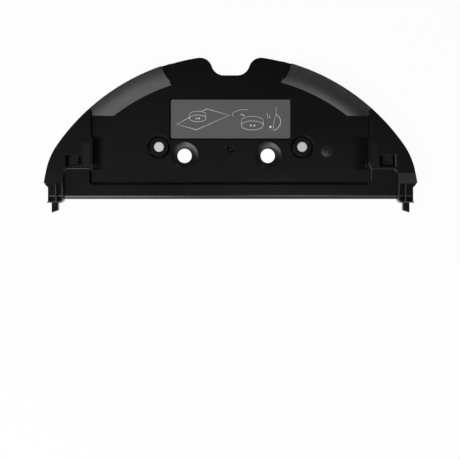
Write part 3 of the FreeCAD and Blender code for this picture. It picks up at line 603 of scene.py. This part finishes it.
@dataclass(frozen=True)
class StudioPaper:
    """White background paper, which the camera sees as plain white with a faint shadow."""

    colour: str = "#f4f4f4"
    roughness: float = 0.9
    fibre_mm: float = 3.0
    fibre_depth_mm: float = 0.05
    fibre_strength: float = 0.05
    white_share: float = 0.95

    def make(self) -> bpy.types.Material:
        """Build the material.

        Returns:
            The finished material.
        """
        material, tree, place = start_material("white_background_paper")
        fibre = noise(tree, place, self.fibre_mm, detail=3.0)
        bump = relief(tree, fibre, self.fibre_depth_mm, self.fibre_strength)
        paper = add_node(tree, "ShaderNodeBsdfPrincipled", {
            "Base Color": linear(self.colour), "Roughness": self.roughness,
            "Normal": bump.outputs["Normal"]}).outputs["BSDF"]
        glow = add_node(tree, "ShaderNodeEmission", {
            "Color": (1, 1, 1, 1), "Strength": 1.0}).outputs["Emission"]
        # Only what is seen is white by itself, so the paper throws no more light than paper.
        rays = add_node(tree, "ShaderNodeLightPath").outputs
        seen = number_math(tree, "MAXIMUM", rays["Is Camera Ray"], rays["Is Glossy Ray"])
        seen = number_math(tree, "MAXIMUM", seen, rays["Is Transmission Ray"])
        share = number_math(tree, "MULTIPLY", seen, self.white_share)
        mixed = add_node(tree, "ShaderNodeMixShader", {0: share, 1: paper, 2: glow})
        add_node(tree, "ShaderNodeOutputMaterial", {"Surface": mixed.outputs["Shader"]})
        return material


def dress(piece: bpy.types.Object, material: bpy.types.Material) -> None:
    """Give a piece one material on all of its faces.

    Args:
        piece: Mesh object, a CAD node or a new piece.
        material: Its finished material.
    """
    piece.data.materials.clear()
    piece.data.materials.append(material)
    LOG.info("%s: %s, %d faces", piece.name, material.name, len(piece.data.polygons))


def new_piece(name: str, shape: bmesh.types.BMesh, smooth_below: float = 35.0
              ) -> bpy.types.Object:
    """Turn a bmesh in row coordinates into an object at the origin.

    Args:
        name: Name of the piece.
        shape: Closed shape with its faces outwards; it is freed.
        smooth_below: Edges under this many degrees are shaded smooth.

    Returns:
        The linked object.
    """
    mesh = bpy.data.meshes.new(name)
    shape.to_mesh(mesh)
    shape.free()
    mesh.shade_smooth()
    mesh.set_sharp_from_angle(angle=math.radians(smooth_below))
    piece = bpy.data.objects.new(name, mesh)
    bpy.context.scene.collection.objects.link(piece)
    return piece


@dataclass
class Moulding:
    """The plate itself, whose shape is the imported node's own."""

    node: str = "mop_plate"
    finish: MouldedAbs = field(default_factory=MouldedAbs)

    def dress(self) -> None:
        """Give the moulding its satin black plastic."""
        dress(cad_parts[self.node], self.finish.make())


@dataclass(frozen=True)
class Stroke:
    """One printed line: points in millimetres from the label's middle."""

    points: tuple[tuple[float, float], ...]
    closed: bool = False
    weight: float = 1.0


def oval(centre: tuple[float, float], radii: tuple[float, float], sweep: float = FULL_TURN,
         weight: float = 1.0) -> Stroke:
    """Lay points along an oval or a part of one.

    Args:
        centre: Middle of the oval in millimetres.
        radii: Its two half axes in millimetres.
        sweep: Degrees that the line goes round from its right end; a full turn closes it.
        weight: Share of the usual line width.

    Returns:
        The stroke.
    """
    closed = sweep >= FULL_TURN
    steps = round(sweep / OVAL_STEP)
    points = []
    for index in range(steps if closed else steps + 1):
        angle = math.radians(sweep * index / steps)
        points.append((centre[0] + radii[0] * math.cos(angle),
                       centre[1] + radii[1] * math.sin(angle)))
    return Stroke(tuple(points), closed, weight)


@dataclass
class PrintedLabel:
    """The label film with its thin line drawings of how the cloth goes on."""

    node: str = "label"
    line_mm: float = 0.5
    ink_height_mm: float = 0.015
    # Weights of the lines, as shares of the usual width.
    fine: float = 0.6
    face: float = 0.75
    tip: float = 1.3
    wheel: float = 3.0
    finger: float = 3.9
    # Where the two wheels start, as shares of a machine's half width, and their length as a
    # share of its half depth.
    wheel_starts: tuple[float, float] = (-0.22, 0.1)
    wheel_length: float = 0.4
    film: PolyesterFilm = field(default_factory=PolyesterFilm)
    ink: PrintingInk = field(default_factory=PrintingInk)

    def round_machine(self, centre: tuple[float, float], radii: tuple[float, float],
                      height: float) -> list[Stroke]:
        """Draw a round machine tipped up, with two wheels in the face that shows.

        Args:
            centre: Middle of that face in millimetres from the label's middle.
            radii: Half axes of the face in millimetres.
            height: How far its far rim shows above the face.

        Returns:
            The strokes.
        """
        x, y = centre
        wide, low = radii
        rim = oval((x, y + height), radii, FULL_TURN / 2, self.fine)
        walls = [Stroke(((edge, y + height), (edge, y)), weight=self.fine)
                 for edge in (x - wide, x + wide)]
        starts = [x + share * wide for share in self.wheel_starts]
        wheels = [Stroke(((start, y), (start + self.wheel_length * low, y)),
                         weight=self.wheel) for start in starts]
        return [oval(centre, radii, weight=self.face), rim, *walls, *wheels]

    def cloth_drawing(self) -> list[Stroke]:
        """Draw a cloth lying in perspective with a small round machine on its edge.

        Returns:
            The strokes.
        """
        sheet = Stroke(((-24.1, 6.6), (-19.5, 8.5), (-1.1, 3.1), (-28.7, -9.0), (-45.0, -4.4),
                        (-34.4, 1.4)))
        return [sheet, *self.round_machine((-27.5, 0.6), (6.8, 2.8), 3.2)]

    def machine_drawing(self) -> list[Stroke]:
        """Draw a larger round machine with a bent arrow over it.

        Returns:
            The strokes.
        """
        bend = Stroke(((2.7, 2.3), (1.3, 3.4), (1.6, 4.8), (3.8, 6.2), (7.7, 7.6), (11.0, 8.0),
                       (14.4, 7.7)), weight=self.fine)
        tip = Stroke(((8.7, 4.2), (11.9, 2.7)), weight=self.tip)
        return [*self.round_machine((18.2, -5.3), (9.2, 3.8), 3.8), bend, tip]

    def plate_drawing(self) -> list[Stroke]:
        """Draw the plate on edge, with a fingertip beside it and two lines of motion.

        Returns:
            The strokes.
        """
        spine = Stroke(((38.4, 10.0), (38.1, 3.9), (36.3, -2.3), (35.7, -9.7)),
                       weight=self.fine)
        edge = Stroke(((38.1, 3.9), (40.8, 1.7), (42.1, -1.5), (41.3, -5.3), (39.1, -8.2),
                       (36.6, -9.7)))
        finger = Stroke(((33.1, -5.8), (34.2, -7.1)), weight=self.finger)
        motion = [Stroke(((30.5, 5.2), (31.6, 0.2)), weight=self.fine),
                  Stroke(((32.6, 3.3), (33.1, 0.6)), weight=self.fine)]
        return [spine, edge, finger, *motion]

    def ink_piece(self, name: str, strokes: Iterable[Stroke], centre: Vector
                  ) -> bpy.types.Object:
        """Lay strokes down as a thin film of ink.

        Args:
            name: Name of the piece.
            strokes: Lines in millimetres from the label's middle.
            centre: Middle of the label's top face.

        Returns:
            The piece, made a mesh.
        """
        curve = bpy.data.curves.new(f"{name}_path", "CURVE")
        curve.dimensions = "3D"
        curve.bevel_depth = self.line_mm * MM / 2
        curve.bevel_resolution = 1
        curve.use_fill_caps = True
        for stroke in strokes:
            spline = curve.splines.new("POLY")
            spline.points.add(len(stroke.points) - 1)
            for point, (x, y) in zip(spline.points, stroke.points):
                point.co = (x * MM, y * MM, 0, 1)
                point.radius = stroke.weight
            spline.use_cyclic_u = stroke.closed
        guide = bpy.data.objects.new(f"{name}_guide", curve)
        mesh = bpy.data.meshes.new_from_object(guide)
        bpy.data.objects.remove(guide)
        flatten = Matrix.Diagonal((1, 1, 2 * self.ink_height_mm / self.line_mm, 1))
        mesh.transform(Matrix.Translation(centre) @ flatten)
        piece = bpy.data.objects.new(name, mesh)
        bpy.context.scene.collection.objects.link(piece)
        return piece

    def build(self) -> None:
        """Print the drawings on the label and dress both."""
        low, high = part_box(self.node)
        centre = Vector(((low.x + high.x) / 2, (low.y + high.y) / 2, high.z))
        dress(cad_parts[self.node], self.film.make())
        ink = self.ink.make()
        for name, strokes in (("print_cloth", self.cloth_drawing()),
                              ("print_machine", self.machine_drawing()),
                              ("print_plate", self.plate_drawing())):
            piece = self.ink_piece(name, strokes, centre)
            dress(piece, ink)
            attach(piece, "root")


@dataclass
class Magnets:
    """The two disc magnets."""

    sides: tuple[str, ...] = ("left", "right")
    finish: NickelPlate = field(default_factory=NickelPlate)

    def dress(self) -> None:
        """Plate each disc with nickel whose rings are centred on it."""
        for side in self.sides:
            node = f"magnet_{side}"
            low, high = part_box(node)
            dress(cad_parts[node], self.finish.make(side, (low + high) / 2))


def rise(edge: bmesh.types.BMEdge) -> float:
    """How far an edge goes up or down."""
    return abs(edge.verts[0].co.z - edge.verts[1].co.z)


def round_off(shape: bmesh.types.BMesh, edges: list[bmesh.types.BMEdge], radius_mm: float,
              segments: int) -> None:
    """Round edges of a shape.

    Args:
        shape: Shape that is changed.
        edges: Its edges to round.
        radius_mm: Radius of the rounding.
        segments: Number of flat strips that make it up.
    """
    bmesh.ops.bevel(shape, geom=edges, offset=radius_mm * MM, segments=segments,
                    profile=ROUND_PROFILE, affect="EDGES", material=-1)


@dataclass
class HookTape:
    """One patch of hook tape: a woven ground with rows of small hooks that point down."""

    node: str
    ground_mm: float = 0.5
    corner_mm: float = 2.0
    corner_segments: int = 8
    edge_mm: float = 0.12
    edge_segments: int = 2
    pitch_mm: float = 1.3
    margin_mm: float = 1.0
    wire_mm: float = 0.16
    wire_sides: int = 5
    # How deep the hooks' roots lie in the ground, as a share of its thickness.
    root_share: float = 0.7
    stem_mm: float = 0.3
    bend_mm: float = 0.22
    bend_degrees: float = 190.0
    bend_steps: int = 5
    hook_smooth_below: float = 80.0

    def ground(self, low: Vector, high: Vector) -> bpy.types.Object:
        """Make the woven ground as a slab with round corners.

        Args:
            low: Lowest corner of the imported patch.
            high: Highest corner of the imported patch.

        Returns:
            The piece.
        """
        thickness = self.ground_mm * MM
        shape = bmesh.new()
        bmesh.ops.create_cube(shape, size=1.0)
        bmesh.ops.scale(shape, vec=(high.x - low.x, high.y - low.y, thickness),
                        verts=shape.verts)
        bmesh.ops.translate(
            shape, verts=shape.verts,
            vec=((low.x + high.x) / 2, (low.y + high.y) / 2, high.z - thickness / 2))
        upright = [edge for edge in shape.edges if rise(edge) > thickness / 2]
        round_off(shape, upright, self.corner_mm, self.corner_segments)
        rims = [edge for edge in shape.edges if rise(edge) < thickness / 2]
        round_off(shape, rims, self.edge_mm, self.edge_segments)
        return new_piece(f"{self.node}_ground", shape)

    def hook(self, spot: Vector, turn: Turn) -> bpy.types.Mesh:
        """Make one hook that hangs from the ground, as a pattern for its row.

        Args:
            spot: Point of the ground from which the hook's stem leaves.
            turn: The way in which the hook turns.

        Returns:
            The closed hook.
        """
        shape = bmesh.new()
        ring = bmesh.ops.create_circle(shape, cap_ends=True, segments=self.wire_sides,
                                       radius=self.wire_mm * MM / 2)
        bmesh.ops.translate(shape, vec=spot, verts=ring["verts"])
        grown = bmesh.ops.extrude_face_region(shape, geom=shape.faces[:])["geom"]
        tip = [item for item in grown if isinstance(item, bmesh.types.BMVert)]
        end = [item for item in grown if isinstance(item, bmesh.types.BMFace)]
        bmesh.ops.translate(shape, vec=(0, 0, -self.stem_mm * MM), verts=tip)
        centre = spot + Vector((turn.value * self.bend_mm * MM, 0, -self.stem_mm * MM))
        bmesh.ops.spin(shape, geom=end, cent=centre, axis=(0, 1, 0), dvec=(0, 0, 0),
                       angle=-turn.value * math.radians(self.bend_degrees),
                       steps=self.bend_steps, use_merge=False)
        # The spin leaves the face that it started from inside the wire.
        bmesh.ops.delete(shape, geom=end, context="FACES_ONLY")
        bmesh.ops.remove_doubles(shape, verts=shape.verts, dist=WELD_M)
        bmesh.ops.recalc_face_normals(shape, faces=shape.faces)
        mesh = bpy.data.meshes.new("hook_pattern")
        shape.to_mesh(mesh)
        shape.free()
        return mesh

    def hooks(self, low: Vector, high: Vector) -> bpy.types.Object:
        """Make the field of hooks, whose rows turn to the right and to the left by turns.

        Args:
            low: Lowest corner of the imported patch.
            high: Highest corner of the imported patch.

        Returns:
            The piece.
        """
        margin = Vector((self.margin_mm, self.margin_mm, 0)) * MM
        first, last = low + margin, high - margin
        counts = [int((last[axis] - first[axis]) / (self.pitch_mm * MM)) + 1
                  for axis in (0, 1)]
        steps = [(last[axis] - first[axis]) / (counts[axis] - 1) for axis in (0, 1)]
        root = Vector((0, 0, high.z - self.ground_mm * MM * self.root_share))
        patterns = [self.hook(root, turn) for turn in (Turn.RIGHT, Turn.LEFT)]
        whole = bmesh.new()
        for row in range(counts[1]):
            # Every second row stands half a step aside and has one hook less.
            odd = row % 2
            for column in range(counts[0] - odd):
                before = len(whole.verts)
                whole.from_mesh(patterns[odd])
                whole.verts.ensure_lookup_table()
                bmesh.ops.translate(
                    whole, verts=whole.verts[before:],
                    vec=(first.x + (column + odd / 2) * steps[0],
                         first.y + row * steps[1], 0))
        for mesh in patterns:
            bpy.data.meshes.remove(mesh)
        return new_piece(f"{self.node}_hooks", whole, self.hook_smooth_below)

    def build(self, material: bpy.types.Material) -> None:
        """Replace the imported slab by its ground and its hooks.

        Args:
            material: Nylon of the tape.
        """
        low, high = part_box(self.node)
        for piece in (self.ground(low, high), self.hooks(low, high)):
            dress(piece, material)
            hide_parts(self.node)
            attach(piece, "root")


@dataclass(frozen=True)
class Softbox:
    """A rectangular light that looks at one point; its place and sides are in metres."""

    name: str
    place: tuple[float, float, float]
    target: tuple[float, float, float]
    size: tuple[float, float]
    radiance: float

    def build(self) -> None:
        """Hang the light."""
        lamp = bpy.data.lights.new(self.name, "AREA")
        lamp.shape = "RECTANGLE"
        lamp.size, lamp.size_y = self.size
        lamp.energy = self.radiance * math.pi * self.size[0] * self.size[1]
        holder = bpy.data.objects.new(self.name, lamp)
        holder.location = self.place
        aim = Vector(self.target) - Vector(self.place)
        holder.rotation_euler = aim.to_track_quat("-Z", "Y").to_euler()
        bpy.context.scene.collection.objects.link(holder)


@dataclass
class Studio:
    """Floor, lights, room and the camera straight above."""

    floor_half_m: float = 3.0
    room_colour: str = "#0e0e0e"
    near_clip_m: float = 0.01
    far_clip_m: float = 20.0
    paper: StudioPaper = field(default_factory=StudioPaper)
    lights: tuple[Softbox, ...] = (
        # Large lights at the front and the left, for the gloss of slopes and roundings.
        Softbox("key_softbox", (-0.85, -1.0, 1.0), (0, 0, 0), (1.6, 1.1), 3.2),
        Softbox("left_softbox", (-1.3, -0.3, 0.6), (0, 0, 0), (1.0, 0.7), 2.4),
        Softbox("low_front_softbox", (0.1, -1.4, 0.75), (0, 0, 0), (2.2, 0.9), 0.7),
        # Small lights overhead, in front of what the flat faces mirror.
        Softbox("front_left_softbox", (-0.35, -0.62, 1.3), (-0.35, -0.6, 0),
                (0.45, 0.45), 5.4),
        Softbox("front_right_softbox", (0.3, -0.6, 1.3), (0.3, -0.6, 0), (0.56, 0.5), 2.6),
        Softbox("top_softbox", (0.15, -0.24, 1.3), (0.15, -0.24, 0), (0.2, 0.22), 3.7),
        # Lights at the rear, for the crescents.
        Softbox("right_rear_softbox", (0.45, 0.9, 0.95), (0.1, 0, 0), (0.5, 0.4), 0.68),
        Softbox("left_rear_softbox", (-0.45, 0.9, 0.95), (-0.1, 0, 0), (0.5, 0.4), 0.26),
        # Faint walls, so that the plate shows from the sides.
        Softbox("rear_wall", (0, 2.2, 0.75), (0, 0, 0), (3.6, 1.2), 0.09),
        Softbox("right_wall", (2.0, 0, 1.4), (0, 0, 0), (3.0, 1.6), 0.08),
        # What the flat faces mirror, darker from the front left to the rear right.
        Softbox("front_left_ceiling", (-0.33, 0.03, 1.3), (-0.33, 0.03, 0),
                (0.6, 0.26), 0.16),
        Softbox("front_right_ceiling", (0.24, 0.03, 1.3), (0.24, 0.03, 0),
                (0.54, 0.26), 0.085),
        Softbox("rear_left_ceiling", (-0.33, 0.27, 1.3), (-0.33, 0.27, 0),
                (0.6, 0.22), 0.07),
        Softbox("rear_right_ceiling", (0.24, 0.27, 1.3), (0.24, 0.27, 0),
                (0.54, 0.22), 0.04),
    )

    def floor(self) -> None:
        """Lay the white paper that the plate rests on."""
        shape = bmesh.new()
        bmesh.ops.create_grid(shape, x_segments=1, y_segments=1, size=self.floor_half_m)
        floor = new_piece("studio_floor", shape)
        dress(floor, self.paper.make())

    def room(self) -> None:
        """Fill the room with a weak even light."""
        world = bpy.data.worlds.new("studio_room")
        world.use_nodes = True
        tree = world.node_tree
        tree.nodes.clear()
        backdrop = add_node(tree, "ShaderNodeBackground", {
            "Color": linear(self.room_colour), "Strength": 1.0})
        add_node(tree, "ShaderNodeOutputWorld", {"Surface": backdrop.outputs["Background"]})
        bpy.context.scene.world = world

    def camera(self) -> None:
        """Hold the camera over the photograph's middle, looking straight down."""
        lens = bpy.data.cameras.new("photo_camera")
        lens.sensor_fit = "HORIZONTAL"
        half_width_mm = PHOTO_WIDTH_PX * PIXEL_MM / 2
        lens.angle = 2 * math.atan(half_width_mm / CAMERA_DISTANCE_MM)
        lens.clip_start = self.near_clip_m
        lens.clip_end = self.far_clip_m
        holder = bpy.data.objects.new("photo_camera", lens)
        holder.location = Vector((
            (PHOTO_CENTRE_PX - PLATE_CENTRE_PX[0]) * PIXEL_MM,
            (PLATE_CENTRE_PX[1] - PHOTO_CENTRE_PX) * PIXEL_MM,
            CAMERA_DISTANCE_MM + WING_TOP_MM)) * MM
        bpy.context.scene.collection.objects.link(holder)
        bpy.context.scene.camera = holder

    def build(self) -> None:
        """Set up the whole studio."""
        self.floor()
        self.room()
        for light in self.lights:
            light.build()
        self.camera()
        bpy.context.scene.view_settings.view_transform = "Standard"


def main() -> None:
    """Build every sub-assembly in order."""
    logging.basicConfig(level=logging.INFO, format="%(message)s")
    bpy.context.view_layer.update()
    Studio().build()
    Moulding().dress()
    PrintedLabel().build()
    Magnets().dress()
    nylon = HookNylon().make()
    for node in ("hook_tape_left", "hook_tape_right", "hook_tape_centre"):
        HookTape(node).build(nylon)


if __name__ == "__main__":
    main()
